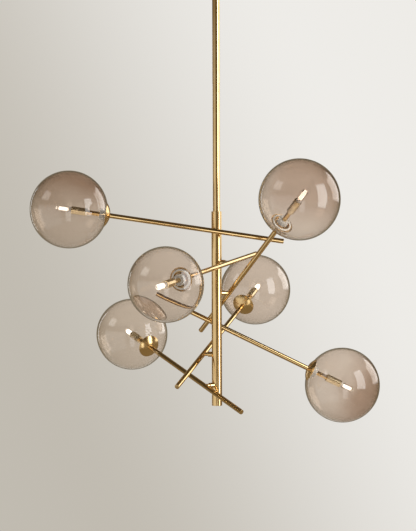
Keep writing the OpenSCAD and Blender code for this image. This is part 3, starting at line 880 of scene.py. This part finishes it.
for n in ARMS:
    glass = ARMS[n][2] / 2 + 0.1
    dome, ball = (0, DOME_MIDDLE), (0, globe_middle(n))
    cap = turn_on_lathe([
        (HUB_BORE, -CAP_SEAT), on_dome(SEAT_RADIUS, DOME_RADIUS),
        (dome, (CAP_RADIUS, 0), 20),
        (ball, on_ball(EDGE_RADIUS, glass, globe_middle(n)), 2),
        on_dome(HOLLOW_RADIUS), (dome, on_dome(SLEEVE_RADIUS), 4),
        (SLEEVE_RADIUS, SLEEVE_END), (SLEEVE_BORE, SLEEVE_END),
        on_dome(SLEEVE_BORE), (dome, on_dome(HUB_RADIUS), 8),
        (HUB_RADIUS, HUB_END), (HUB_BORE, HUB_END)], 128, soft=0.12)
    # Faces that look towards the globe take the second material, the satin one with painted
    # light.
    for face in cap.faces:
        face.material_index = int(face.normal.z > 0)
    spun = stand(cap, f"globe_cap_spun_{n}", at_rim(n), spun_brass, f"branch_{n}",
                 "spun_brass", f"globe_cap_{n}")
    spun.data.materials.append(painted_lit_satin_brass)
print("caps spun:", len(ARMS))

# %% [markdown]
# ## Nut and seal
# Inside the globe a nut clamps the cap, and a silicone ring grips the edge of the glass
# between two lips.

# %% Turn nuts and seals
NUT_RADIUS, NUT_END = 10.5, 12
# The ring-shaped recess in the nut's face: from radius, to radius, and its floor.
RECESS_FROM, RECESS_TO, RECESS_FLOOR = 5.5, 9.5, 10.5
SEAL_BORE, SEAL_THROAT, SEAL_RADIUS = 15.85, 16.95, 19
SEAL_TOP = DOME_RADIUS - 1.1
# The lips lie just outside the glass and just inside it, counted from its outer skin.
LIP_OUTSIDE, LIP_INSIDE = 0.05, 2.25

for n in ARMS:
    nut = turn_on_lathe([
        (HUB_BORE, HUB_END), (NUT_RADIUS, HUB_END), (NUT_RADIUS, NUT_END),
        (RECESS_TO, NUT_END), (RECESS_TO, RECESS_FLOOR), (RECESS_FROM, RECESS_FLOOR),
        (RECESS_FROM, NUT_END), (HUB_BORE, NUT_END)], 96, soft=0.3)
    stand(nut, f"globe_nut_turned_{n}", at_rim(n), clear_acrylic, f"branch_{n}",
          "clear_acrylic", f"globe_nut_{n}")
    radius, middle = ARMS[n][2] / 2, globe_middle(n)
    seal = turn_on_lathe([
        on_dome(SEAL_BORE, SEAL_TOP), on_dome(SEAL_RADIUS, SEAL_TOP),
        on_ball(SEAL_RADIUS, radius + LIP_OUTSIDE, middle),
        on_ball(SEAL_THROAT, radius + LIP_OUTSIDE, middle),
        on_ball(SEAL_THROAT, radius - LIP_INSIDE, middle),
        on_ball(SEAL_RADIUS, radius - LIP_INSIDE, middle),
        (SEAL_RADIUS, SLEEVE_END), (SEAL_BORE, SLEEVE_END)], 96, soft=0.15)
    stand(seal, f"globe_seal_turned_{n}", at_rim(n), clear_silicone, f"branch_{n}",
          "clear_silicone", f"globe_seal_{n}")
print("nuts and seals turned:", 2 * len(ARMS))

# %% [markdown]
# ## Lamp holders and bulbs
# The holder is a turned sleeve with a fine groove near each end. The bulb's ceramic base
# sits in it. The capsule is blown thin, ends in a round tip and holds the bright core.

# %% Turn holders and bulbs
HOLDER_START, HOLDER_END = 36, 67
HOLDER_RADIUS, GROOVE_RADIUS = 7.25, 6.95
GROOVE_FROM, GROOVE_TO = 3, 3.7
SOCKET_BORE, SOCKET_FLOOR = 5, HOLDER_END - 9
BASE_RADIUS, BASE_FOOT, BASE_TOP = 4.8, HOLDER_END - 8.8, HOLDER_END + 5
BULB_TIP = 97
CAPSULE_RADIUS, CAPSULE_FOOT_RADIUS, CAPSULE_WALL = 5.2, 4.3, 0.7
CAPSULE_SIDE, CAPSULE_FLOOR = HOLDER_END + 6, HOLDER_END + 6.4
CAPSULE_INSIDE = CAPSULE_RADIUS - CAPSULE_WALL
TIP_MIDDLE = BULB_TIP - CAPSULE_RADIUS
CORE_RADIUS, CORE_START, CORE_END = 1.5, HOLDER_END + 7, BULB_TIP - 7


def groove(start, end):
    """A groove round the holder, as part of its outline."""
    return [(HOLDER_RADIUS, start), (GROOVE_RADIUS, start), (GROOVE_RADIUS, end),
            (HOLDER_RADIUS, end)]


for n in ARMS:
    holder = turn_on_lathe([
        (HUB_BORE, HOLDER_START), (HOLDER_RADIUS, HOLDER_START),
        *groove(HOLDER_START + GROOVE_FROM, HOLDER_START + GROOVE_TO),
        *groove(HOLDER_END - GROOVE_TO, HOLDER_END - GROOVE_FROM),
        (HOLDER_RADIUS, HOLDER_END), (SOCKET_BORE, HOLDER_END), (SOCKET_BORE, SOCKET_FLOOR),
        (HUB_BORE, SOCKET_FLOOR)], 72, soft=0.25)
    stand(holder, f"lamp_holder_turned_{n}", at_rim(n), holder_brass, f"branch_{n}",
          "holder_brass", f"lamp_holder_{n}")
    base = turn_on_lathe(sleeve(0, BASE_RADIUS, BASE_FOOT, BASE_TOP), 64, soft=0.3)
    stand(base, f"bulb_base_{n}", at_rim(n), ceramic, f"branch_{n}", "bulb_glass")
    capsule = turn_on_lathe([
        (0, BASE_TOP), (CAPSULE_FOOT_RADIUS, BASE_TOP), (CAPSULE_RADIUS, CAPSULE_SIDE),
        (CAPSULE_RADIUS, TIP_MIDDLE), ((0, TIP_MIDDLE), (0, BULB_TIP), 10),
        (0, BULB_TIP - CAPSULE_WALL), ((0, TIP_MIDDLE), (CAPSULE_INSIDE, TIP_MIDDLE), 10),
        (CAPSULE_INSIDE, CAPSULE_FLOOR), (0, CAPSULE_FLOOR)], 64)
    let_light_in(stand(capsule, f"bulb_capsule_{n}", at_rim(n), capsule_glass, f"branch_{n}",
                       "bulb_glass", f"bulb_{n}"))
    core = turn_on_lathe([
        (0, CORE_START), (CORE_RADIUS, CORE_START), (CORE_RADIUS, CORE_END),
        ((0, CORE_END), (0, CORE_END + CORE_RADIUS), 6)], 32)
    stand(core, f"bulb_core_{n}", at_rim(n), lit_core, f"branch_{n}", "bulb_glass")
print("holders and bulbs turned:", len(ARMS))

# %% [markdown]
# ## Globes
# The glass is a ball with a real wall, open where the seal holds it. Both skins are arcs of
# the outline, each swept from one vertex, so the wall is even and its edge is closed.

# %% Blow the globes
GLASS_WALL, HOLE_RADIUS = 2.2, 17

for n in ARMS:
    radius, middle = ARMS[n][2] / 2, globe_middle(n)
    inside = radius - GLASS_WALL
    globe = turn_on_lathe([
        (0, middle + radius), ((0, middle), on_ball(HOLE_RADIUS, radius, middle), 72),
        on_ball(HOLE_RADIUS, inside, middle), ((0, middle), (0, middle + inside), 72)], 144)
    let_light_in(stand(globe, f"globe_blown_{n}", at_rim(n), smoky_glass[n], f"branch_{n}",
                       "smoky_glass", f"glass_globe_{n}"))
print("globes blown:", len(ARMS))

# %% [markdown]
# ## Carried-over CAD pieces
# The ceiling fitting, the swivel and the column's plug keep their CAD shapes, which are
# already right, and take the same brass and plated steel.

# %% Finish the CAD pieces
KEPT = {
    "mounting_bar": plated_steel,
    "shank_nuts": plated_steel,
    "canopy": fitting_brass,
    "canopy_ring": fitting_brass,
    "swivel_fork": fitting_brass,
    "swivel_screw": fitting_brass,
    "swivel_tongue": fitting_brass,
    "column_plug": fitting_brass,
}
for name, finish in KEPT.items():
    for slot in frame["nodes"][name].material_slots:
        slot.material = finish
print("CAD pieces finished:", ", ".join(KEPT))

# %% [markdown]
# ## Sizes
# The dressed model is meant to stay within the CAD part's box, so how far each corner of its box
# lies from the CAD box's is printed.

# %% Print how far the box corners move
visual_box = [list(corner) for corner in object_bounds()]
for corner, (cad, visual) in enumerate(zip(cad_box, visual_box)):
    print("corner", corner, "moves by mm:", [round((v - c) / MM, 2) for c, v in zip(cad, visual)])
